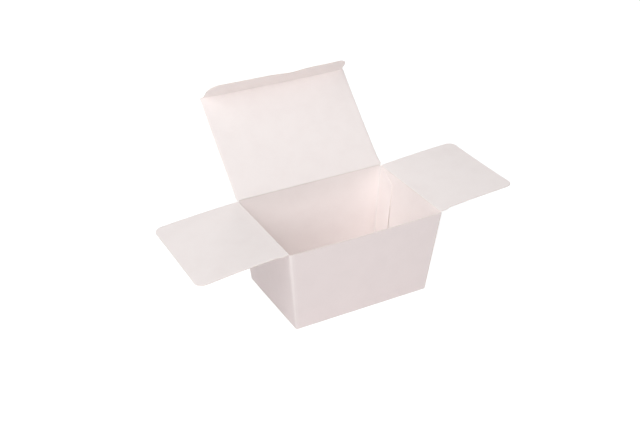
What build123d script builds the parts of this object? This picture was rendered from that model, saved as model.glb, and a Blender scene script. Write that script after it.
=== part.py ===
"""Praline box: a tapered folding carton of white paperboard, standing open.

One die-cut sheet makes the whole box. Its four walls are closed by a glued tab, its bottom is the
self-locking kind whose panels swing down and hook together, and four panels still move on their
creases: two end flaps, the lid on the back wall, and the tuck on the lid's free edge.

Millimetres, +Z up. The origin is on the table under the middle of the base. The front wall faces -Y.
"""
from build123d import *
import math
import os

# Driving dimensions of the carton, measured over the outside of the card
rim_length = 110.0         # along X, at the height of the lid's crease
rim_width = 75.0           # along Y, at the height of the lid's crease
base_length = 97.0         # along X, on the table
base_width = 66.0          # along Y, on the table
lid_crease_height = 60.0   # table to the crease between back wall and lid
card = 0.45                # thickness of the paperboard

# Folds and creases
upright_fold = 1.4         # outside radius of the four upright folds
base_fold = 0.7            # outside radius of the folds round the base
crease_gap = 0.3           # clear space between a panel's cut edge and the rolled root of the next
stack_clearance = 0.25     # between closed panels that lie on each other

# End flaps
flap_length = 58.5         # from the crease to the outer edge
flap_corner = 6.0          # radius of the outer corners
flap_set_back = 2.4        # front edge, from the outside of the front wall
shoulder_length = 9.0      # along the flap, from the crease to the set-back edge
shoulder_round = 4.0       # radius where the shoulder meets the set-back edge
flap_wall_clearance = 0.25 # between a closed flap and the back wall
left_flap_rise = -5.0      # degrees above level, as the box stands open
right_flap_rise = 4.0      # degrees above level, as the box stands open

# Lid and tuck
lid_side_inset = 0.8       # lid's side edges, in from the ends of the rim
lid_lean = 46.7            # degrees back from upright, as the box stands open
tuck_depth = 15.5          # from the lid's edge crease to the free edge
tuck_corner = 5.0          # radius of the tuck's free corners
tuck_fold = 88.0           # degrees between the lid's own plane and the tuck, as the box stands open
tuck_clearance = 0.15      # between the closed tuck and the front wall, and the tuck and the flaps
tuck_side_clearance = 0.5  # between the closed tuck and each end wall
tuck_turn_in = 0.1         # further in that the closed tuck stands where it passes the flaps

# Glued side seam
tab_width = 16.5           # glue tab, along the right end wall
tab_end_slope = 5.0        # how much shorter the tab's free edge is, at top and at bottom
tab_end_margin = 3.0       # from the rim and the floor to the tab at its root
seam_offset = 1.0          # cut edge of the right end wall, in from its back upright fold
seam_width = 0.25

# Self-locking bottom
end_panel_depth = 24.0     # end bottom panels, inwards from the end walls
end_panel_slope = 9.0      # narrowing of an end panel's plain side at its free edge
end_panel_margin = 1.2     # between an end panel's root and the long walls
hook_reach = 8.0           # each hook, past the middle seam
hook_root = 3.0            # each hook, on its own panel's side of the seam
hook_slope = 5.0           # slant of a hook's two ends
hook_gap = 0.8             # between a hook, the middle of the box and an end panel
wedge_width = 5.0          # gap at the cut end of each long bottom panel, at the seam
score_width = 0.7          # scored line on the diagonal of each glued corner
score_depth = 0.12
bottom_seam_width = 0.3
bottom_seam_depth = 0.25

# Lean of the walls, as run per unit of height
end_slope = (rim_length - base_length) / 2 / lid_crease_height
long_slope = (rim_width - base_width) / 2 / lid_crease_height
end_wall = card * math.hypot(1, end_slope)       # end wall's thickness measured level
long_wall = card * math.hypot(1, long_slope)     # front or back wall's thickness measured level

# Crease lines: each runs through the middle of the card
flap_crease_height = lid_crease_height - card - stack_clearance
edge_drop = card / 2 + crease_gap                # from a crease down to the cut edge under it
above = 4.0                                      # how far trimming blocks reach past the rim


def half_length(height):
    """Half the outside length of the box at a height."""
    return base_length / 2 + end_slope * height


def half_width(height):
    """Half the outside width of the box at a height."""
    return base_width / 2 + long_slope * height


def tapered_block(inset_x, inset_y, corner, bottom, top):
    """A solid with the box's taper, its sides set in from the outside faces."""
    ends = []
    for height in (bottom, top):
        length, width = 2 * (half_length(height) - inset_x), 2 * (half_width(height) - inset_y)
        outline = RectangleRounded(length, width, corner)
        ends.append(Pos(0, 0, height) * outline)
    return loft(ends)


def inside_space(bottom):
    """The space between the four walls, from a height up past the rim."""
    return tapered_block(end_wall, long_wall, upright_fold - card, bottom, lid_crease_height + above)


def layer(points, bottom, thickness):
    """A flat piece of card with straight edges, lying level."""
    return Pos(0, 0, bottom) * extrude(make_face(Polyline(*points, close=True)), thickness)


def slab(x_range, y_range, z_range):
    """A plain block between two corners, used to trim edges."""
    size = [high - low for low, high in (x_range, y_range, z_range)]
    corner = (x_range[0], y_range[0], z_range[0])
    return Pos(*corner) * Box(*size, align=(Align.MIN, Align.MIN, Align.MIN))


def folded_walls():
    """Four walls and the floor, with soft folds and trimmed top edges."""
    block = tapered_block(0, 0, upright_fold, 0, lid_crease_height)
    block = fillet(block.edges().group_by(Axis.Z)[0], base_fold)
    walls = block - inside_cavity()
    reach_x, reach_y = rim_length, rim_width
    top = lid_crease_height + above
    fold_start = half_length(flap_crease_height) - upright_fold
    for side in (-1, 1):
        span = sorted((side * fold_start, side * reach_x))
        walls -= slab(span, (-reach_y, reach_y), (flap_crease_height - edge_drop, top))
    walls -= slab((-reach_x, reach_x), (0, reach_y), (lid_crease_height - edge_drop, top))
    walls -= slab((-reach_x, reach_x), (-reach_y, 0), (flap_crease_height, top))
    return walls


def corner_y(height, offset):
    """Distance along Y of a line that runs beside the back upright folds."""
    return half_width(height) - offset


def side_seam_cut():
    """Room between the right end wall's cut back edge and the back wall's fold."""
    top = lid_crease_height + above
    start, end = upright_fold + seam_offset, upright_fold + seam_offset + seam_width
    outline = [
        (corner_y(base_fold, end), base_fold), (corner_y(base_fold, start), base_fold),
        (corner_y(top, start), top), (corner_y(top, end), top),
    ]
    strip = extrude(Plane.YZ * make_face(Polyline(*outline, close=True)), rim_length)
    return strip - inside_space(0)


def glue_tab():
    """The back wall's tab on the inner face of the right end wall, with the wall behind it."""
    low = 2 * card + tab_end_margin
    high = flap_crease_height - edge_drop - tab_end_margin
    root, free = long_wall / 2, long_wall + tab_width
    outline = [
        (corner_y(low, root), low), (corner_y(high, root), high),
        (corner_y(high, free), high - tab_end_slope), (corner_y(low, free), low + tab_end_slope),
    ]
    strip = extrude(Plane.YZ * make_face(Polyline(*outline, close=True)), rim_length)
    return strip - Pos(-end_wall, 0, 0) * inside_space(card)


def end_bottom_panel():
    """Right end's bottom panel, lying on the long panels, with its glued side cut on the diagonal."""
    face = half_length(card) - end_wall
    root, free = face + end_wall / 2, face - end_panel_depth
    side = half_width(card) - long_wall - end_panel_margin
    outline = [
        (root, -side), (root, side), (face, side), (free, side - end_panel_depth),
        (free, -side + end_panel_slope), (face, -side),
    ]
    return layer(outline, card, card)


def back_hook():
    """Hook of the back bottom panel, lying over the front panel in the right half of the box."""
    start = hook_gap
    end = half_length(card) - end_wall - end_panel_depth - hook_gap
    outline = [
        (start, hook_root), (end, hook_root),
        (end - hook_slope, -hook_reach), (start + hook_slope, -hook_reach),
    ]
    return layer(outline, card, card)


def bottom_cuts():
    """Cut from the lowest layer at the right end: a wedge, a scored diagonal and half the seam."""
    root = half_length(0) - end_wall
    side = half_width(0) - base_fold
    seam = bottom_seam_width / 2
    edge = root - end_wall
    wedge = [(edge, -side + upright_fold), (edge, seam), (root - wedge_width, seam)]
    diagonal = min(end_panel_depth, side - hook_root)
    run = Pos(root - diagonal / 2, side - diagonal / 2) * Rot(0, 0, 45)
    score = run * extrude(Rectangle(diagonal * math.sqrt(2) - upright_fold, score_width), score_depth)
    seam_cut = slab((hook_gap + hook_slope, root - wedge_width / 2), (-seam, seam), (0, bottom_seam_depth))
    return [layer(wedge, 0, card), score, seam_cut]


def inside_cavity():
    """The room inside the box, less the tab and the bottom panels that lie on the long ones."""
    cavity = inside_space(card) - glue_tab()
    for turn in (0, 180):
        half = Rot(0, 0, turn)
        cavity -= half * end_bottom_panel()
        cavity -= half * back_hook()
    return cavity


def carton_body():
    """Walls, glue tab and locked bottom: everything that no longer moves once the box is set up."""
    body = folded_walls() - side_seam_cut()
    for turn in (0, 180):
        for cut in bottom_cuts():
            body -= Rot(0, 0, turn) * cut
    return body


def creased_panel(outline, reach, breadth):
    """A panel lying level along +X, with its root rolled round the crease on the Y axis."""
    section = Pos(reach / 2, 0) * SlotCenterToCenter(reach, card)
    sheet = extrude(Plane.XZ * section, breadth, both=True)
    return sheet & extrude(outline, card, both=True)


def end_flap(rise):
    """Right end flap at an angle above level. The left one is its mirror image."""
    crease_x = half_length(flap_crease_height) - end_wall / 2
    front = -half_width(flap_crease_height)
    root_front = front + long_wall + 2 * tuck_clearance + card + tuck_turn_in
    back = -front - long_wall - flap_wall_clearance
    edge_front = front + flap_set_back
    points = [
        (-card, root_front), (0, root_front), (shoulder_length, edge_front), (flap_length, edge_front),
        (flap_length, back), (-card, back),
    ]
    outline = make_face(Polyline(*points, close=True))
    corners = outline.vertices().group_by(Axis.X)[-1]
    outline = fillet(corners, flap_corner)
    shoulder = outline.vertices().sort_by_distance((shoulder_length, edge_front))[0]
    outline = fillet(shoulder, shoulder_round)
    panel = creased_panel(outline, 2 * flap_length, rim_width)
    return Pos(crease_x, 0, flap_crease_height) * Rot(0, -rise, 0) * panel


def lid_depth():
    """From the lid's crease to the tuck's crease, which stands just inside the front wall when closed."""
    crease_y = half_width(lid_crease_height) - long_wall / 2
    tuck_y = -half_width(lid_crease_height) + long_wall + tuck_clearance + card / 2
    return crease_y - tuck_y


def lid_plane(along, lean):
    """Plane whose X runs up a panel that leans back, from a point up the standing lid."""
    crease_y = half_width(lid_crease_height) - long_wall / 2
    up_y, up_z = math.sin(math.radians(lid_lean)), math.cos(math.radians(lid_lean))
    origin = (0, crease_y + along * up_y, lid_crease_height + along * up_z)
    angle = math.radians(lean)
    run, face = (0, math.sin(angle), math.cos(angle)), (0, -math.cos(angle), math.sin(angle))
    return Plane(origin, x_dir=run, z_dir=face)


def lid_panel():
    """Lid, hinged along the back wall, ending in a cut edge at the tuck's crease."""
    side = rim_length / 2 - lid_side_inset
    end = lid_depth() - edge_drop
    outline = Pos((end - card) / 2, 0) * Rectangle(end + card, 2 * side)
    return lid_plane(0, lid_lean) * creased_panel(outline, 2 * lid_depth(), rim_length)


def tuck_flap():
    """Tuck on the lid's free edge, with ends that run clear of the leaning end walls."""
    root_side = half_length(lid_crease_height) - end_wall - tuck_side_clearance
    free_side = root_side - end_slope * tuck_depth
    points = [
        (-card, -root_side), (0, -root_side), (tuck_depth, -free_side), (tuck_depth, free_side),
        (0, root_side), (-card, root_side),
    ]
    outline = make_face(Polyline(*points, close=True))
    outline = fillet(outline.vertices().group_by(Axis.X)[-1], tuck_corner)
    return lid_plane(lid_depth(), lid_lean - tuck_fold) * creased_panel(outline, 2 * tuck_depth, rim_length)


nodes = {
    "carton_body": carton_body(),
    "left_end_flap": mirror(end_flap(left_flap_rise), Plane.YZ),
    "right_end_flap": end_flap(right_flap_rise),
    "lid_panel": lid_panel(),
    "tuck_flap": tuck_flap(),
}

os.makedirs("parts", exist_ok=True)
for name, shape in nodes.items():
    export_step(shape, f"parts/{name}.step")
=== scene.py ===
"""Praline box of white folding board, standing open: lid up, tuck turned in, end flaps out."""
import math
from functools import partial
import bmesh
import bpy
from mathutils import Matrix, Vector


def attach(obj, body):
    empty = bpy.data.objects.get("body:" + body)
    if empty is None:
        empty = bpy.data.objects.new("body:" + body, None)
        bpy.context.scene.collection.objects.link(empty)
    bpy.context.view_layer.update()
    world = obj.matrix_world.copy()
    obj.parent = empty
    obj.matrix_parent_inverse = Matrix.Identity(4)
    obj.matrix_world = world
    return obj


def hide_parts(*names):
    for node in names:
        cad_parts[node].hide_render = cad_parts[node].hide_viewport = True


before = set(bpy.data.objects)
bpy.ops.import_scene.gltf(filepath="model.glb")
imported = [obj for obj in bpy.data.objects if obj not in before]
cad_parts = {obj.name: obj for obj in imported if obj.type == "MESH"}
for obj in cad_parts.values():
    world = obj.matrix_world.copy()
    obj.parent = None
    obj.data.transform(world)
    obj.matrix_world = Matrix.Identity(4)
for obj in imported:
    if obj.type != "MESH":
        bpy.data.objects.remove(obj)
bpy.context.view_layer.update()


# Carton walls: one strip of white folding board, coated outside and plain inside, scored and folded
# round four corners. The strip ends in a tab that is glued behind the right end wall, and the cut edge
# of that wall shows as a lap seam beside the back corner. Sizes are in millimetres, over the outside.
MM = 0.001
CARD = 0.45
HEIGHT = 60.0                  # the lid's crease
CREASE_HEIGHT = 59.3           # end flaps' creases, and the front wall's cut edge
RIM_LENGTH, RIM_WIDTH = 110.0, 75.0
BASE_LENGTH, BASE_WIDTH = 97.0, 66.0


class Wire:
    """One output of a node. Arithmetic on wires adds Math nodes to the same tree."""

    def __init__(self, socket):
        self.socket = socket

    def __add__(self, other):
        return maths("ADD", self, other)

    def __radd__(self, other):
        return maths("ADD", other, self)

    def __sub__(self, other):
        return maths("SUBTRACT", self, other)

    def __rsub__(self, other):
        return maths("SUBTRACT", other, self)

    def __mul__(self, other):
        return maths("MULTIPLY", self, other)

    def __rmul__(self, other):
        return maths("MULTIPLY", other, self)

    def __truediv__(self, other):
        return maths("DIVIDE", self, other)

    def __rtruediv__(self, other):
        return maths("DIVIDE", other, self)

    def __neg__(self):
        return maths("MULTIPLY", self, -1.0)

    def clamp(self):
        return maths("MAXIMUM", maths("MINIMUM", self, 1.0), 0.0)

    def smooth(self):
        held = self.clamp()
        return held * held * (3.0 - 2.0 * held)


def maths(operation, *values):
    """A Math node, in the tree of the wires that are among its values."""
    tree = next(value.socket.id_data for value in values if isinstance(value, Wire))
    node = tree.nodes.new("ShaderNodeMath")
    node.operation = operation
    for socket, value in zip(node.inputs, values):
        plug(socket, value)
    return Wire(node.outputs[0])


def plug(socket, value):
    """Links a wire to a socket, or sets the socket's own value."""
    if isinstance(value, Wire):
        socket.id_data.links.new(value.socket, socket)
    else:
        socket.default_value = value


def named(sockets, key):
    """A socket by its identifier, or else by its name."""
    for socket in sockets:
        if socket.identifier == key:
            return socket
    return sockets[key]


class Tree:
    """A node tree that is being wired."""

    def __init__(self, tree):
        self.tree = tree

    def node(self, kind, settings=None, sockets=None, outs=None):
        """Adds a node: its type, its settings, then the values or links of its sockets."""
        node = self.tree.nodes.new(kind)
        for name, value in (settings or {}).items():
            setattr(node, name, value)
        for key, value in (sockets or {}).items():
            plug(named(node.inputs, key), value)
        if outs is None:
            return Wire(node.outputs[0]) if len(node.outputs) else None
        wires = [Wire(named(node.outputs, key)) for key in outs]
        return wires[0] if len(wires) == 1 else wires


def linear(red, green, blue):
    """A colour given as 8-bit sRGB, for a colour socket."""
    parts = []
    for value in (red, green, blue):
        share = value / 255
        parts.append(share / 12.92 if share <= 0.04045 else ((share + 0.055) / 1.055) ** 2.4)
    return (*parts, 1.0)


CLOUDS = {"Scale": 95.0, "Detail": 4.0, "Roughness": 0.55}    # denser and thinner spots of the sheet
DRIFTS = {"Scale": 17.0, "Detail": 2.0, "Roughness": 0.5}     # broad changes of tone
FIBRES = {"Scale": 1500.0, "Detail": 3.0, "Roughness": 0.6}
GRAIN = (0.35, 1.0, 1.0)       # fibres are drawn out along the box
NOISE_MIDDLE = 0.5
CLOUD_START, CLOUD_TONE, DRIFT_TONE, FIBRE_TONE = 0.36, 1.7, 1.1, 0.9
CRACK_EVEN, CRACK_FIBRE, CRACK_START, CRACK_ROUGH = 0.35, 1.3, 0.25, 0.2
FIBRE_RELIEF, CLOUD_RELIEF, CRACK_RELIEF, RELIEF_STRENGTH = 0.55, 0.45, 0.5, 0.35


def board_material(name, colour, cloud_colour, worn_colour, roughness, gloss_loss, fibre_depth):
    """Paperboard: cloudy formation, fine fibres along the grain, and creases where the surface is worn."""
    material = bpy.data.materials.new(name)
    material.use_nodes = True
    shader = material.node_tree.nodes["Principled BSDF"]
    tree = Tree(material.node_tree)
    place = tree.node("ShaderNodeTexCoord", outs=["Object"])
    along_grain = tree.node("ShaderNodeVectorMath", {"operation": "MULTIPLY"},
                            {"Vector": place, "Vector_001": GRAIN})
    cloud = tree.node("ShaderNodeTexNoise", None, {"Vector": place, **CLOUDS})
    drift = tree.node("ShaderNodeTexNoise", None, {"Vector": place, **DRIFTS})
    fibre = tree.node("ShaderNodeTexNoise", None, {"Vector": along_grain, **FIBRES})
    crease = tree.node("ShaderNodeAttribute", {"attribute_name": "crease"}, None, ["Fac"])
    cracked = (crease * (CRACK_EVEN + CRACK_FIBRE * fibre) - CRACK_START).clamp()
    tone = ((cloud - CLOUD_START) * CLOUD_TONE + (drift - NOISE_MIDDLE) * DRIFT_TONE
            + (fibre - NOISE_MIDDLE) * FIBRE_TONE).clamp()
    clouded = tree.node("ShaderNodeMix", {"data_type": "RGBA"},
                        {"Factor_Float": tone, "A_Color": colour, "B_Color": cloud_colour}, ["Result_Color"])
    worn = tree.node("ShaderNodeMix", {"data_type": "RGBA"},
                     {"Factor_Float": cracked, "A_Color": clouded, "B_Color": worn_colour}, ["Result_Color"])
    relief = fibre * FIBRE_RELIEF + cloud * CLOUD_RELIEF + cracked * CRACK_RELIEF
    bump = tree.node("ShaderNodeBump", None, {"Strength": RELIEF_STRENGTH, "Distance": fibre_depth * MM,
                                              "Height": relief})
    plug(shader.inputs["Base Color"], worn)
    plug(shader.inputs["Roughness"],
         roughness + gloss_loss * (cloud - NOISE_MIDDLE) + CRACK_ROUGH * cracked)
    plug(shader.inputs["Normal"], bump)
    return material


coated_board = board_material("coated_board", linear(240, 228, 227), linear(237, 225, 224),
                              linear(243, 234, 232), roughness=0.5, gloss_loss=0.10, fibre_depth=0.03)
plain_board = board_material("plain_board", linear(254, 246, 244), linear(250, 241, 239),
                             linear(253, 248, 246), roughness=0.68, gloss_loss=0.14, fibre_depth=0.09)
cut_edge = board_material("cut_edge", linear(244, 235, 230), linear(234, 223, 215),
                          linear(247, 240, 236), roughness=0.85, gloss_loss=0.10, fibre_depth=0.10)


def new_piece(name, points, faces, crease):
    """An open sheet from points in millimetres, with how creased each point is."""
    mesh = bpy.data.meshes.new(name)
    mesh.from_pydata([tuple(value * MM for value in point) for point in points], [], faces)
    mesh.attributes.new("crease", "FLOAT", "POINT").data.foreach_set("value", crease)
    piece = bpy.data.objects.new(name, mesh)
    bpy.context.scene.collection.objects.link(piece)
    return piece


def plain_mesh(piece):
    """Turns a piece and its modifiers into a plain mesh."""
    evaluated = piece.evaluated_get(bpy.context.evaluated_depsgraph_get())
    mesh = bpy.data.meshes.new_from_object(evaluated)
    mesh.name = piece.name
    piece.modifiers.clear()
    piece.data = mesh


EDGE_ROUND, EDGE_STEPS, EDGE_ANGLE = 0.07, 2, 50  # cut edges are rounded where they turn by this angle
SHARP_ANGLE = 32               # a sharper edge is not shaded smooth


def thicken(piece, offset, finishes):
    """Gives a sheet the card's thickness, with one finish on each face and one on its cut edges. The card
    lies behind the sheet at offset -1, and half on each side of it at 0."""
    piece.data.materials.clear()
    for finish in finishes:
        piece.data.materials.append(finish)
    solid = piece.modifiers.new("thickness", "SOLIDIFY")
    solid.thickness, solid.offset = CARD * MM, offset
    solid.use_even_offset, solid.use_rim = True, True
    solid.material_offset, solid.material_offset_rim = 1, 2
    bevel = piece.modifiers.new("edges", "BEVEL")
    bevel.width, bevel.segments = EDGE_ROUND * MM, EDGE_STEPS
    bevel.limit_method, bevel.angle_limit = "ANGLE", math.radians(EDGE_ANGLE)
    bpy.context.view_layer.update()
    plain_mesh(piece)
    piece.data.shade_smooth()
    piece.data.set_sharp_from_angle(angle=math.radians(SHARP_ANGLE))


NICK_WIDTH, NICK_REACH, NICK_TAPER = 0.55, 0.2, 0.35  # stubs that narrow by a share of their width
FRONT_NICKS = (-21, 26)        # stubs on the front wall's top edge


def leave_nicks(piece, spots):
    """Leaves a stub on the cut edge nearest to each spot: the bridges that held the blank, snapped off."""
    sheet = bmesh.new()
    sheet.from_mesh(piece.data)
    for spot in spots:
        target = Vector(spot) * MM
        edge = min((e for e in sheet.edges if e.is_boundary),
                   key=lambda e: ((e.verts[0].co + e.verts[1].co) / 2 - target).length)
        face = edge.link_faces[0]
        middle = (edge.verts[0].co + edge.verts[1].co) / 2
        along = (edge.verts[1].co - edge.verts[0].co).normalized()
        outward = middle - face.calc_center_median()
        outward = (outward - outward.dot(along) * along).normalized()
        cut = bmesh.ops.subdivide_edges(sheet, edges=[edge], cuts=2)
        ends = [item for item in cut["geom_inner"] if isinstance(item, bmesh.types.BMVert)]
        for end in ends:
            side = math.copysign(NICK_WIDTH / 2 * MM, (end.co - middle).dot(along))
            end.co = middle + side * along
        root = sheet.edges.get(ends)
        grown = bmesh.ops.extrude_edge_only(sheet, edges=[root])["geom"]
        for item in grown:
            if isinstance(item, bmesh.types.BMVert):
                item.co += outward * NICK_REACH * MM + (middle - item.co) * NICK_TAPER
            elif isinstance(item, bmesh.types.BMFace):
                item.normal_update()
                if item.normal.dot(face.normal) < 0:
                    item.normal_flip()
    sheet.to_mesh(piece.data)
    sheet.free()


def half_sizes(height):
    """Half the outside length and width of the box at a height."""
    share = height / HEIGHT
    return ((BASE_LENGTH + (RIM_LENGTH - BASE_LENGTH) * share) / 2,
            (BASE_WIDTH + (RIM_WIDTH - BASE_WIDTH) * share) / 2)


def ease(share):
    """Smooth step from 0 to 1."""
    held = min(max(share, 0.0), 1.0)
    return held * held * (3 - 2 * held)


TAB_WIDTH, TAB_SLOPE, TAB_TOP, TAB_FOOT = 16.5, 7.5, 58.75, 0.52
LAP_START, LAP_END = 1.9, 2.6  # from the back wall's face: where the tab steps in behind the end wall
LAP_STEP = CARD + 0.03
TAB_LIFT, TAB_LOOSE = 0.16, 9.0  # low down, the tab's free edge stands off the wall, from this far in
TAB_PRESS, PRESS_LOW, PRESS_HIGH = 0.3, 26.0, 40.0  # higher up, the glue presses it into the wall


def tab_place(inward, height, inset):
    """A point of the glue tab, or of the short run of the back corner beside it."""
    length, width = half_sizes(height)
    pressed = TAB_PRESS * ease((height - PRESS_LOW) / (PRESS_HIGH - PRESS_LOW))
    lap = ease((inward - LAP_START) / (LAP_END - LAP_START)) * (LAP_STEP - pressed)
    loose = max(0.0, (inward - TAB_LOOSE) / (TAB_WIDTH - TAB_LOOSE))
    lift = TAB_LIFT * loose ** 2 * (1 - height / HEIGHT)
    return length - lap - lift - inset, width - inward


CORNERS = {"back_right": (1, 1, 0), "back_left": (-1, 1, 90), "front_left": (-1, -1, 180),
           "front_right": (1, -1, 270)}  # side along X and Y, and the angle where the fold starts
FOLDS = {"back_right": 1.4, "back_left": 1.8, "front_left": 2.5, "front_right": 1.6}  # radius at the rim
BASE_CORNER = 1.25             # radius of the same folds at the base


def fold_place(corner, share, height, inset):
    """A point on an upright fold."""
    length, width = half_sizes(height)
    side_x, side_y, start = CORNERS[corner]
    radius = BASE_CORNER + (FOLDS[corner] - BASE_CORNER) * height / HEIGHT
    angle = math.radians(start + 90 * share)
    return (side_x * (length - radius) + (radius - inset) * math.cos(angle),
            side_y * (width - radius) + (radius - inset) * math.sin(angle))


FRONT_BULGE, BACK_BULGE, LEFT_BULGE, RIGHT_BULGE = 0.9, -0.35, 0.5, 0.3
FREE_TOP_GROWTH = 1.4          # the front wall's bulge grows with this power of the height


def panel_place(first, last, bulge, free_top, share, height, inset):
    """A point on a flat wall between two upright folds, with its slight bulge."""
    x0, y0 = fold_place(first, 1.0, height, inset)
    x1, y1 = fold_place(last, 0.0, height, inset)
    out_x, out_y = y1 - y0, x0 - x1
    reach = math.hypot(out_x, out_y)
    rise = min(height / HEIGHT, 1.0)
    growth = rise ** FREE_TOP_GROWTH if free_top else math.sin(math.pi * rise) ** 2
    swell = bulge * math.sin(math.pi * share) * growth
    return (x0 + (x1 - x0) * share + out_x / reach * swell,
            y0 + (y1 - y0) * share + out_y / reach * swell)


WALL_ROWS, FOLD_ROWS = 26, 5
BASE_FOLD, BASE_LIP = 0.7, 0.4  # radius of the folds round the base, and the level run inwards past them
ROLL_RISE, ROLL_IN = 0.28, 0.26  # under a crease the top rolls inwards, so that the panel has room to drop
LIP_CREASE, LAP_CREASE, ROLL_CREASE = 0.3, 0.3, 0.6  # how creased the board is there
CREASE_FADE = 1.1              # how far a crease's marks run on each side


def tab_rows(low, high):
    """Height, inset and crease of each point up a column of the tab."""
    steps = WALL_ROWS + FOLD_ROWS + 1
    return [(low + (high - low) * step / steps, 0.0, 0.0) for step in range(steps + 1)]


def wall_rows(top, roll):
    """Height, inset and crease of each point up a column of a wall, from under the base to the top."""
    rows = [(0.0, BASE_FOLD + BASE_LIP, LIP_CREASE)]
    for step in range(FOLD_ROWS):
        angle = math.pi / 2 * (1 - step / FOLD_ROWS)
        rows.append((BASE_FOLD * (1 - math.sin(angle)), BASE_FOLD * (1 - math.cos(angle)), 1.0))
    for step in range(WALL_ROWS):
        height = BASE_FOLD + (top - ROLL_RISE - BASE_FOLD) * step / (WALL_ROWS - 1)
        rows.append((height, 0.0, math.exp(-(height - BASE_FOLD) / CREASE_FADE)))
    rows.append((top, ROLL_IN * roll, ROLL_CREASE * roll))
    return rows


TAB_COLUMNS, LAP_COLUMNS, FOLD_COLUMNS, LONG_COLUMNS, END_COLUMNS = 14, 4, 9, 44, 32
CREASE_DROP = 0.32             # the board ends this far under a moving panel's crease, and a bead takes over
RIM_CLIMB = 0.5                # share of a corner fold that keeps to the end wall's height
END_WALL_CUT = 2.75            # cut edge of the right end wall, from the back wall's face
WALLS = (                      # fold before each wall, its bulge, its top, whether that rolls, its columns
    ("back_right", BACK_BULGE, HEIGHT - CREASE_DROP, 1, LONG_COLUMNS),
    ("back_left", LEFT_BULGE, CREASE_HEIGHT - CREASE_DROP, 1, END_COLUMNS),
    ("front_left", FRONT_BULGE, CREASE_HEIGHT, 0, LONG_COLUMNS),
    ("front_right", RIGHT_BULGE, CREASE_HEIGHT - CREASE_DROP, 1, END_COLUMNS),
)


def wall_columns():
    """Columns of the strip in order: a function of height and inset, its rows, and how creased it is."""
    columns = []
    for step in range(TAB_COLUMNS + 1):
        inward = TAB_WIDTH - (TAB_WIDTH - LAP_END) * step / TAB_COLUMNS
        slope = TAB_SLOPE * (inward - LAP_END) / (TAB_WIDTH - LAP_END)
        columns.append((partial(tab_place, inward), tab_rows(TAB_FOOT + slope, TAB_TOP - slope), 0.0))
    for step in range(1, LAP_COLUMNS + 1):
        inward = LAP_END + (LAP_START - LAP_END) * step / LAP_COLUMNS
        columns.append((partial(tab_place, inward), tab_rows(TAB_FOOT, TAB_TOP), LAP_CREASE))
    for number, (fold, bulge, top, roll, count) in enumerate(WALLS):
        is_long = number % 2 == 0
        last_top, last_roll = WALLS[number - 1][2:4]
        next_fold = WALLS[(number + 1) % len(WALLS)][0]
        for step in range(FOLD_COLUMNS):
            share = step / (FOLD_COLUMNS - 1)
            climb = ease((share - RIM_CLIMB if is_long else share) / (1 - RIM_CLIMB))
            rows = wall_rows(last_top + (top - last_top) * climb, last_roll + (roll - last_roll) * climb)
            columns.append((partial(fold_place, fold, share), rows, math.sin(math.pi * share) ** 0.5))
        for step in range(1, count):
            share = 0.5 - 0.5 * math.cos(math.pi * step / count)
            if next_fold == "back_right":
                share *= 1 - (END_WALL_CUT - FOLDS[next_fold]) / (RIM_WIDTH - FOLDS[fold] - FOLDS[next_fold])
            run = (RIM_LENGTH if is_long else RIM_WIDTH) * min(share, 1 - share)
            columns.append((partial(panel_place, fold, next_fold, bulge, not roll, share),
                            wall_rows(top, roll), math.exp(-run / CREASE_FADE)))
    return columns


wall_points, wall_creases, wall_faces = [], [], []
wall_strip = wall_columns()
for place, rows, crease in wall_strip:
    for height, inset, row_crease in rows:
        wall_points.append((*place(height, inset), height))
        wall_creases.append(max(crease, row_crease))
per_column = WALL_ROWS + FOLD_ROWS + 2
for column in range(len(wall_strip) - 1):
    for row in range(per_column - 1):
        first = column * per_column + row
        wall_faces.append((first, first + per_column, first + per_column + 1, first + 1))
carton_walls = new_piece("carton_walls", wall_points, wall_faces, wall_creases)
leave_nicks(carton_walls, [(along, -RIM_WIDTH / 2, CREASE_HEIGHT) for along in FRONT_NICKS])
thicken(carton_walls, -1.0, [coated_board, plain_board, cut_edge])
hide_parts("carton_body")
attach(carton_walls, "carton")


# Locking bottom: two long panels that meet along the middle, with a hook on each that lies over the
# other, and two end panels on top of them, each glued to one long panel beside a scored diagonal.
# They are parts of the same sheet as the walls, and swing flat by themselves when the box is set up.
LAYER_GAP = 0.02               # clear space between sheets that lie on or beside each other
BOTTOM_INSET = BASE_FOLD + BASE_LIP + LAYER_GAP  # the long panels run on from the lips of the base folds
END_PANEL_DEPTH, END_PANEL_SLOPE, END_PANEL_MARGIN = 24.0, 9.0, 1.2
GLUED_MARGIN = 2.0             # the glued corner past the diagonal is cut back by this much
SCORE_RISE = 0.14              # height of the welt that the diagonal score leaves
HOOK_REACH, HOOK_ROOT, HOOK_SLOPE, HOOK_GAP = 8.0, 3.0, 5.0, 0.8
WEDGE_WIDTH, SEAM = 5.0, 0.15  # slant at one end of a long panel, and its distance from the middle
FREE_EDGE_LIFT, HOOK_LIFT = 0.55, 0.6  # loose edges stand up a little, a hook's inner end by this share
BOTTOM_STEPS = 26


def turned(points, half_turn):
    """The same outline, for the other end of the box, turned by half a turn."""
    return [(-x, -y, z) for x, y, z in points] if half_turn else points


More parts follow.
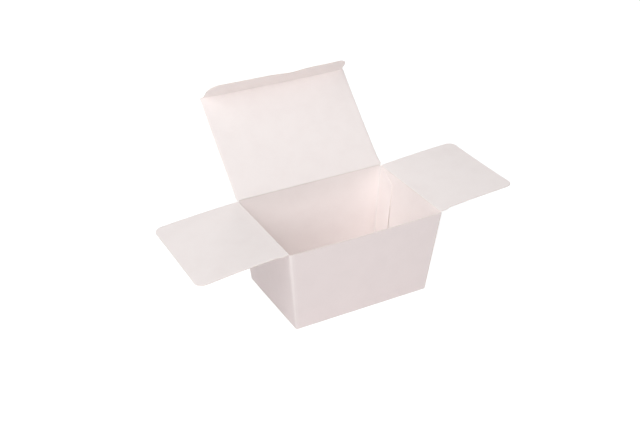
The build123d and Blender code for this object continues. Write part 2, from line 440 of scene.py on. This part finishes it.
def bottom_sheet(outline, score):
    """Points, creases and faces of a four-sided sheet, given corner by corner, with a score across it."""
    a, b, c, d = [Vector(corner) for corner in outline]
    points, creases, faces = [], [], []
    for row in range(BOTTOM_STEPS + 1):
        for column in range(BOTTOM_STEPS + 1):
            s, t = column / BOTTOM_STEPS, row / BOTTOM_STEPS
            point = a.lerp(b, s).lerp(d.lerp(c, s), t)
            mark = 0.0
            if score:
                start, end = [Vector(place).to_2d() for place in score]
                run = (end - start).normalized()
                off = point.to_2d() - start
                mark = math.exp(-abs(off.x * run.y - off.y * run.x) / CREASE_FADE)
            points.append((point.x, point.y, point.z + SCORE_RISE * mark))
            creases.append(mark)
    for row in range(BOTTOM_STEPS):
        for column in range(BOTTOM_STEPS):
            first = row * (BOTTOM_STEPS + 1) + column
            faces.append((first, first + 1, first + BOTTOM_STEPS + 2, first + BOTTOM_STEPS + 1))
    return points, creases, faces


bottom_points, bottom_creases, bottom_faces = [], [], []
base_x, base_y = BASE_LENGTH / 2 - BOTTOM_INSET, BASE_WIDTH / 2 - BOTTOM_INSET
inner_x, inner_y = BASE_LENGTH / 2 - CARD / 2, BASE_WIDTH / 2 - CARD - END_PANEL_MARGIN
free_x = inner_x - END_PANEL_DEPTH
hook_end = free_x - HOOK_GAP
low_z, high_z = CARD / 2, 1.5 * CARD + LAYER_GAP
long_panel = [(-base_x + WEDGE_WIDTH, SEAM, low_z), (base_x, SEAM, low_z), (base_x, base_y, low_z),
              (-base_x, base_y, low_z)]
end_panel = [(free_x, -inner_y + END_PANEL_SLOPE, high_z + FREE_EDGE_LIFT), (inner_x, -inner_y, high_z),
             (inner_x - GLUED_MARGIN, inner_y, high_z),
             (free_x + GLUED_MARGIN, inner_y - GLUED_MARGIN, high_z)]
diagonal = [(inner_x, inner_y, high_z), (free_x, inner_y - END_PANEL_DEPTH, high_z)]
hook = [(HOOK_GAP + HOOK_SLOPE, -HOOK_REACH, high_z + FREE_EDGE_LIFT * HOOK_LIFT),
        (hook_end - HOOK_SLOPE, -HOOK_REACH, high_z + FREE_EDGE_LIFT), (hook_end, HOOK_ROOT, high_z),
        (HOOK_GAP, HOOK_ROOT, high_z)]
for half_turn in (False, True):
    for outline, score in ((long_panel, []), (end_panel, diagonal), (hook, [])):
        sheet_points, sheet_creases, sheet_faces = bottom_sheet(turned(outline, half_turn),
                                                                turned(score, half_turn))
        start = len(bottom_points)
        bottom_points += sheet_points
        bottom_creases += sheet_creases
        bottom_faces += [tuple(start + index for index in face) for face in sheet_faces]
locking_bottom = new_piece("locking_bottom", bottom_points, bottom_faces, bottom_creases)
thicken(locking_bottom, 0.0, [plain_board, coated_board, cut_edge])
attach(locking_bottom, "carton")


# End flaps: single panels on the end walls' creases, with rounded outer corners and a small shoulder at
# the front of the crease. They are cut from the same sheet, and their plain inner face lies upwards.
FLAP_CREASE_X = 54.698
FLAP_LENGTH, FLAP_CORNER = 58.5, 6.0
FLAP_FRONT_ROOT, FLAP_FRONT, FLAP_BACK = 36.15, 35.05, 36.75
SHOULDER, SHOULDER_RUN = 3.8, 3.6  # from the crease to where the root narrows, and over what run
LEFT_RISE, RIGHT_RISE = -5.0, 4.0  # degrees above level
FLAP_NICKS = (-13, 19)         # stubs on the right flap's outer edge, and mirrored on the left one's
PANEL_ROWS, PANEL_COLUMNS = 42, 56
RIPPLE_SPAN = 30.0             # length of one ripple in the card
PANEL_SIZES = ("Length", "Low root", "Low side", "High root", "High side", "Shoulder", "Shoulder run",
               "Corner", "Bow", "Camber", "Twist", "Tilt", "Dent", "Dent place", "Dent width", "Ripple",
               "Seed")
PANEL_INPUTS = {**dict.fromkeys(PANEL_SIZES, "Float"), "Rows": "Int", "Columns": "Int", "Face": "Material"}


def begin_shape(name, inputs):
    """A Geometry Nodes tree with named inputs, and a wire from each of them."""
    group = bpy.data.node_groups.new(name, "GeometryNodeTree")
    group.interface.new_socket("Geometry", in_out="OUTPUT", socket_type="NodeSocketGeometry")
    for key, kind in inputs.items():
        group.interface.new_socket(key, in_out="INPUT", socket_type="NodeSocket" + kind)
    given = group.nodes.new("NodeGroupInput")
    return Tree(group), {key: Wire(given.outputs[key]) for key in inputs}


def end_shape(tree, geometry, crease, finish):
    """Ends a tree: notes how creased each point is, makes instances real and sets the finish."""
    marked = tree.node("GeometryNodeStoreNamedAttribute", {"data_type": "FLOAT", "domain": "POINT"},
                       {"Geometry": geometry, "Name": "crease", "Value": crease})
    real = tree.node("GeometryNodeRealizeInstances", None, {"Geometry": marked})
    finished = tree.node("GeometryNodeSetMaterial", None, {"Geometry": real, "Material": finish})
    tree.node("NodeGroupOutput", None, {"Geometry": finished})
    return tree.tree


def panel_tree():
    """A flap of card by rule: straight crease, shouldered sides, round outer corners and a gentle warp."""
    tree, size = begin_shape("card_panel", PANEL_INPUTS)
    grid = tree.node("GeometryNodeMeshGrid", None, {"Size X": 1.0, "Size Y": 1.0, "Vertices X": size["Rows"],
                                                   "Vertices Y": size["Columns"]}, ["Mesh"])
    place = tree.node("GeometryNodeInputPosition")
    row, column = tree.node("ShaderNodeSeparateXYZ", None, {"Vector": place}, ["X", "Y"])

    # Rows lie close together at the crease and at the free edge
    share = 0.5 - 0.5 * maths("COSINE", (row + 0.5) * math.pi)
    along = size["Length"] * share
    across = column + 0.5
    past = maths("MAXIMUM", along - (size["Length"] - size["Corner"]), 0.0)
    square = size["Corner"] * size["Corner"] - past * past
    round_off = size["Corner"] - maths("SQRT", maths("MAXIMUM", square, 0.0))
    shoulder = ((along - size["Shoulder"]) / size["Shoulder run"]).smooth()
    low = size["Low root"] + (size["Low side"] - size["Low root"]) * shoulder + round_off
    high = size["High root"] + (size["High side"] - size["High root"]) * shoulder - round_off
    side = low + (high - low) * across

    # The warp stands off the flat panel, and grows from the crease to the free edge
    middle = 2.0 * across - 1.0
    hump = maths("SINE", share * math.pi)
    offset = (across - size["Dent place"]) / size["Dent width"]
    dent = maths("EXPONENT", -(offset * offset))
    noise_at = tree.node("ShaderNodeCombineXYZ", None, {"X": along / RIPPLE_SPAN, "Y": side / RIPPLE_SPAN,
                                                        "Z": size["Seed"]})
    ripple = tree.node("ShaderNodeTexNoise", None, {"Vector": noise_at, "Scale": 1.0, "Detail": 1.0})
    warp = (size["Camber"] * (1.0 - middle * middle) + size["Twist"] * middle + size["Tilt"]
            + size["Dent"] * dent + size["Ripple"] * (ripple - NOISE_MIDDLE))
    lift = size["Bow"] * hump + share * warp
    spot = tree.node("ShaderNodeCombineXYZ", None, {"X": along * MM, "Y": side * MM, "Z": lift * MM})
    moved = tree.node("GeometryNodeSetPosition", None, {"Geometry": grid, "Position": spot})
    return end_shape(tree, moved, maths("EXPONENT", along / -CREASE_FADE), size["Face"])


card_panel = panel_tree()


def shaped_by(tree, piece, values):
    """Runs a tree on a piece with its inputs set, and keeps the result as a plain mesh."""
    shaper = piece.modifiers.new("shape", "NODES")
    shaper.node_group = tree
    for item in tree.interface.items_tree:
        if item.in_out == "INPUT" and item.name in values:
            shaper[item.identifier] = values[item.name]
    piece.update_tag()
    bpy.context.view_layer.update()
    plain_mesh(piece)


def make_panel(name, values, nicks, matrix):
    """A flap of card, shaped flat by the tree, thickened, and put in its place."""
    piece = new_piece(name, [(0, 0, 0)], [], [0.0])
    flat = {**dict.fromkeys(PANEL_SIZES, 0.0), "Dent width": 1.0, "Rows": PANEL_ROWS,
            "Columns": PANEL_COLUMNS, "Face": plain_board}
    shaped_by(card_panel, piece, {**flat, **values})
    leave_nicks(piece, nicks)
    thicken(piece, 0.0, [plain_board, coated_board, cut_edge])
    piece.data.transform(matrix)
    piece.data.update()
    return piece


def panel_frame(origin, along, across):
    """Matrix that takes a flat panel's own axes to its crease in the box, origin in millimetres."""
    along, across = Vector(along).normalized(), Vector(across).normalized()
    face = along.cross(across)
    matrix = Matrix((along, across, face)).transposed().to_4x4()
    matrix.translation = Vector(origin) * MM
    return matrix


def level_run(rise, side):
    """Direction of an end flap, out from its end of the box."""
    return side * math.cos(math.radians(rise)), 0.0, math.sin(math.radians(rise))


flap_shape = {"Length": FLAP_LENGTH, "Corner": FLAP_CORNER, "Shoulder": SHOULDER,
              "Shoulder run": SHOULDER_RUN}
right_end_flap = make_panel(
    "right_flap",
    {**flap_shape, "Low root": -FLAP_FRONT_ROOT, "Low side": -FLAP_FRONT, "High root": FLAP_BACK,
     "High side": FLAP_BACK, "Bow": 0.35, "Camber": -0.5, "Ripple": 0.5, "Seed": 3.0},
    [(FLAP_LENGTH, across, 0) for across in FLAP_NICKS],
    panel_frame((FLAP_CREASE_X, 0, CREASE_HEIGHT), level_run(RIGHT_RISE, 1), (0, 1, 0)))
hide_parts("right_end_flap")
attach(right_end_flap, "right_flap")
left_end_flap = make_panel(
    "left_flap",
    {**flap_shape, "Low root": -FLAP_BACK, "Low side": -FLAP_BACK, "High root": FLAP_FRONT_ROOT,
     "High side": FLAP_FRONT, "Bow": 0.4, "Camber": 0.4, "Twist": -0.5, "Ripple": 0.5, "Seed": 8.0},
    [(FLAP_LENGTH, -across, 0) for across in reversed(FLAP_NICKS)],
    panel_frame((-FLAP_CREASE_X, 0, CREASE_HEIGHT), level_run(LEFT_RISE, -1), (0, -1, 0)))
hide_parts("left_end_flap")
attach(left_end_flap, "left_flap")


# Lid: a plain panel on the back wall's crease, as wide as the rim there and a little narrower above, and
# slightly bowed. It is the widest panel of the sheet, and its plain inner face looks forwards.
LID_CREASE_Y = 37.274
LID_LENGTH = 73.948
LID_LEAN = 46.7                # degrees back from upright
LID_ROOT, LID_LEFT, LID_RIGHT = 55.0, 54.8, 54.2  # half widths at the crease and along the sides
LID_FLARE = 6.0                # run from the crease over which the sides narrow
LID_CORNER = 0.01
LID_RIGHT_NICK, LID_LEFT_NICK = 56, 37  # stubs on the sides, from the crease


def leaning_run(lean):
    """Direction up a panel that leans back by an angle from upright."""
    return 0.0, math.sin(math.radians(lean)), math.cos(math.radians(lean))


lid = make_panel(
    "lid",
    {"Length": LID_LENGTH, "Low root": -LID_ROOT, "Low side": -LID_RIGHT, "High root": LID_ROOT,
     "High side": LID_LEFT, "Shoulder run": LID_FLARE, "Corner": LID_CORNER, "Bow": -0.5, "Camber": -0.8,
     "Ripple": 0.6, "Seed": 5.0},
    [(LID_RIGHT_NICK, -LID_RIGHT, 0), (LID_LEFT_NICK, LID_LEFT, 0)],
    panel_frame((0, LID_CREASE_Y, HEIGHT), leaning_run(LID_LEAN), (-1, 0, 0)))
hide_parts("lid_panel")
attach(lid, "lid")


# Tuck: the short flap on the lid's free edge, folded in, with round corners and a shallow dent in its
# wavy edge. It is a little narrower than the lid, and slides in behind the front wall.
TUCK_DEPTH, TUCK_CORNER, TUCK_FOLD = 15.5, 8.0, 88.0
TUCK_ROOT, TUCK_EDGE, TUCK_TAPER = 54.4, 52.5, 1.2  # half widths, and the run over which it narrows
TUCK_NICKS = (-32, 9, 38)      # stubs on the free edge
TUCK_ROWS, TUCK_COLUMNS = 22, 90
tuck_origin = Vector((0, LID_CREASE_Y, HEIGHT)) + LID_LENGTH * Vector(leaning_run(LID_LEAN))
tuck = make_panel(
    "tuck",
    {"Length": TUCK_DEPTH, "Low root": -TUCK_ROOT, "Low side": -TUCK_EDGE, "High root": TUCK_ROOT,
     "High side": TUCK_EDGE, "Shoulder run": TUCK_TAPER, "Corner": TUCK_CORNER, "Bow": 0.1, "Camber": 0.3,
     "Dent": 0.9, "Dent place": 0.42, "Dent width": 0.1, "Tilt": 0.3, "Ripple": 0.5, "Seed": 2.0,
     "Rows": TUCK_ROWS, "Columns": TUCK_COLUMNS},
    [(TUCK_DEPTH, across, 0) for across in TUCK_NICKS],
    panel_frame(tuck_origin, leaning_run(LID_LEAN - TUCK_FOLD), (-1, 0, 0)))
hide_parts("tuck_flap")
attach(tuck, "tuck")


# Crease beads: the welt that scoring leaves along each fold of a moving panel, where the board's
# fibres are crushed and rolled. One runs along each of the four creases that still move.
BEAD_RADIUS, BEAD_WAVER = 0.34, 0.05
BEAD_RINGS, BEAD_SIDES = 140, 12
BEAD_GRAIN = {"Scale": 700.0, "Detail": 2.0}  # unevenness of the welt
SEED_STEP = 7.0
FLAP_BEAD_FRONT, FLAP_BEAD_BACK = -36.1, 36.7
LID_BEAD_END = 54.4
TUCK_BEAD_LEFT, TUCK_BEAD_RIGHT = -54.3, 54.0
BEAD_INPUTS = {"Start": "Vector", "End": "Vector", "Radius": "Float", "Waver": "Float", "Seed": "Float",
               "Finish": "Material"}


def bead_tree():
    """A thin welt of board between two points, with a slightly uneven surface."""
    tree, size = begin_shape("crease_bead", BEAD_INPUTS)
    line = tree.node("GeometryNodeCurvePrimitiveLine", {"mode": "POINTS"},
                     {"Start": size["Start"], "End": size["End"]})
    path = tree.node("GeometryNodeResampleCurve", None, {"Curve": line, "Count": BEAD_RINGS})
    section = tree.node("GeometryNodeCurvePrimitiveCircle", None,
                        {"Resolution": BEAD_SIDES, "Radius": size["Radius"]}, ["Curve"])
    tube = tree.node("GeometryNodeCurveToMesh", None,
                     {"Curve": path, "Profile Curve": section, "Fill Caps": True})
    noise_at = tree.node("GeometryNodeInputPosition")
    rough = tree.node("ShaderNodeTexNoise", {"noise_dimensions": "4D"},
                      {"Vector": noise_at, "W": size["Seed"], **BEAD_GRAIN}, ["Fac"])
    normal = tree.node("GeometryNodeInputNormal")
    push = tree.node("ShaderNodeVectorMath", {"operation": "SCALE"},
                     {"Vector": normal, "Scale": (rough - NOISE_MIDDLE) * size["Waver"]}, ["Vector"])
    uneven = tree.node("GeometryNodeSetPosition", None, {"Geometry": tube, "Offset": push})
    return end_shape(tree, uneven, 1.0, size["Finish"])


crease_bead = bead_tree()
beads = (
    ("left_flap_bead", "carton", (-FLAP_CREASE_X, FLAP_BEAD_FRONT, CREASE_HEIGHT),
     (-FLAP_CREASE_X, FLAP_BEAD_BACK, CREASE_HEIGHT)),
    ("right_flap_bead", "carton", (FLAP_CREASE_X, FLAP_BEAD_FRONT, CREASE_HEIGHT),
     (FLAP_CREASE_X, FLAP_BEAD_BACK, CREASE_HEIGHT)),
    ("lid_bead", "carton", (-LID_BEAD_END, LID_CREASE_Y, HEIGHT), (LID_BEAD_END, LID_CREASE_Y, HEIGHT)),
    ("tuck_bead", "lid", (TUCK_BEAD_LEFT, tuck_origin.y, tuck_origin.z),
     (TUCK_BEAD_RIGHT, tuck_origin.y, tuck_origin.z)),
)
for number, (name, body, start, end) in enumerate(beads):
    bead = new_piece(name, [(0, 0, 0)], [], [0.0])
    shaped_by(crease_bead, bead, {"Start": Vector(start) * MM, "End": Vector(end) * MM,
                                  "Radius": BEAD_RADIUS * MM, "Waver": BEAD_WAVER * MM,
                                  "Seed": number * SEED_STEP, "Finish": plain_board})
    bead.data.shade_smooth()
    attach(bead, body)


# Table and studio: a white paper sheet that the box stands on, broad soft lamps in front and on the
# left, a weak low one behind, and a white surround. The sheet keeps the shadow of the box. In metres.
FLOOR_SIZE, FLOOR_DROP = 3.0, 0.0001
SHEET_NEAR, SHEET_FAR = 0.4, 1.0  # the sheet goes over to plain white between these distances
SHEET_COLOUR, SHEET_GLOW = (0.9, 0.9, 0.9, 1), 0.6  # glow: seen straight and in gloss, no diffuse light
WHITE = (1, 1, 1, 1)
SURROUND_LIGHT = 0.13
LAMP_AIM = (0, 0, 0.05)


def shows_background(tree):
    """1 for rays that bring the background to the camera, straight or by way of gloss or glass."""
    seen, mirrored, through = tree.node("ShaderNodeLightPath", None, None,
                                        ["Is Camera Ray", "Is Glossy Ray", "Is Transmission Ray"])
    return (seen + mirrored + through).clamp()


floor_mesh = bpy.data.meshes.new("floor")
floor_mesh.from_pydata([(-FLOOR_SIZE, -FLOOR_SIZE, -FLOOR_DROP), (FLOOR_SIZE, -FLOOR_SIZE, -FLOOR_DROP),
                        (FLOOR_SIZE, FLOOR_SIZE, -FLOOR_DROP), (-FLOOR_SIZE, FLOOR_SIZE, -FLOOR_DROP)],
                       [], [(0, 1, 2, 3)])
floor = bpy.data.objects.new("floor", floor_mesh)
bpy.context.scene.collection.objects.link(floor)
white_sheet = bpy.data.materials.new("white_sheet")
white_sheet.use_nodes = True
white_sheet.node_tree.nodes.clear()
sheet = Tree(white_sheet.node_tree)
paper = sheet.node("ShaderNodeBsdfDiffuse", None, {"Color": SHEET_COLOUR})
glow = sheet.node("ShaderNodeEmission", None, {"Color": WHITE, "Strength": SHEET_GLOW})
bright_paper = sheet.node("ShaderNodeAddShader", None, {"Shader": paper, "Shader_001": glow})
far_white = sheet.node("ShaderNodeEmission", None, {"Color": WHITE, "Strength": 1.0})
spot = sheet.node("ShaderNodeTexCoord", outs=["Object"])
distance = sheet.node("ShaderNodeVectorMath", {"operation": "LENGTH"}, {"Vector": spot}, ["Value"])
far = ((distance - SHEET_NEAR) / (SHEET_FAR - SHEET_NEAR)).smooth()
seen_paper = sheet.node("ShaderNodeMixShader", None,
                        {"Fac": far, "Shader": bright_paper, "Shader_001": far_white})
either = sheet.node("ShaderNodeMixShader", None,
                    {"Fac": shows_background(sheet), "Shader": paper, "Shader_001": seen_paper})
sheet.node("ShaderNodeOutputMaterial", None, {"Surface": either})
floor_mesh.materials.append(white_sheet)


def soft_lamp(name, place, size, power):
    """A square lamp that looks at the middle of the box."""
    lamp = bpy.data.lights.new(name, "AREA")
    lamp.size, lamp.energy = size, power
    holder = bpy.data.objects.new(name, lamp)
    holder.location = place
    holder.rotation_euler = (Vector(LAMP_AIM) - Vector(place)).to_track_quat("-Z", "Y").to_euler()
    bpy.context.scene.collection.objects.link(holder)


soft_lamp("front_lamp", (-0.32, -1.30, 1.05), size=1.5, power=16.6)
soft_lamp("left_lamp", (-1.18, 0.00, 1.22), size=1.3, power=14.2)
soft_lamp("back_lamp", (0.78, 1.47, 0.32), size=0.6, power=9.0)

world = bpy.data.worlds.new("white_surround")
bpy.context.scene.world = world
world.use_nodes = True
world.node_tree.nodes.clear()
surround = Tree(world.node_tree)
lit = surround.node("ShaderNodeBackground", None, {"Color": WHITE, "Strength": SURROUND_LIGHT})
white = surround.node("ShaderNodeBackground", None, {"Color": WHITE, "Strength": 1.0})
both = surround.node("ShaderNodeMixShader", None,
                     {"Fac": shows_background(surround), "Shader": lit, "Shader_001": white})
surround.node("ShaderNodeOutputWorld", None, {"Surface": both})
bpy.context.scene.view_settings.view_transform = "Standard"


# Camera: where the photograph was taken from, with angles and distances fitted to the box's outline.
# The place is given along the picture's own right, up and back, in millimetres from the origin.
YAW, PITCH, ROLL = math.radians(-28.87), math.radians(30.23), math.radians(0.33)
FOCAL_PIXELS, IMAGE_WIDTH, FILM_WIDTH = 1024.9, 640, 36.0
ASIDE, RAISED, DISTANCE = -11.8, 46.94, 687.7
NEAREST, FARTHEST = 0.01, 20   # metres
back = Vector((math.sin(YAW) * math.cos(PITCH), -math.cos(YAW) * math.cos(PITCH), math.sin(PITCH)))
level = Vector((math.cos(YAW), math.sin(YAW), 0))
upright = back.cross(level)
right = math.cos(ROLL) * level + math.sin(ROLL) * upright
upward = -math.sin(ROLL) * level + math.cos(ROLL) * upright
camera_data = bpy.data.cameras.new("camera")
camera_data.sensor_width = FILM_WIDTH
camera_data.lens = FOCAL_PIXELS / IMAGE_WIDTH * FILM_WIDTH
camera_data.clip_start, camera_data.clip_end = NEAREST, FARTHEST
camera = bpy.data.objects.new("camera", camera_data)
camera.matrix_world = Matrix((right, upward, back)).transposed().to_4x4()
camera.location = (ASIDE * right + RAISED * upward + DISTANCE * back) * MM
bpy.context.scene.collection.objects.link(camera)
bpy.context.scene.camera = camera
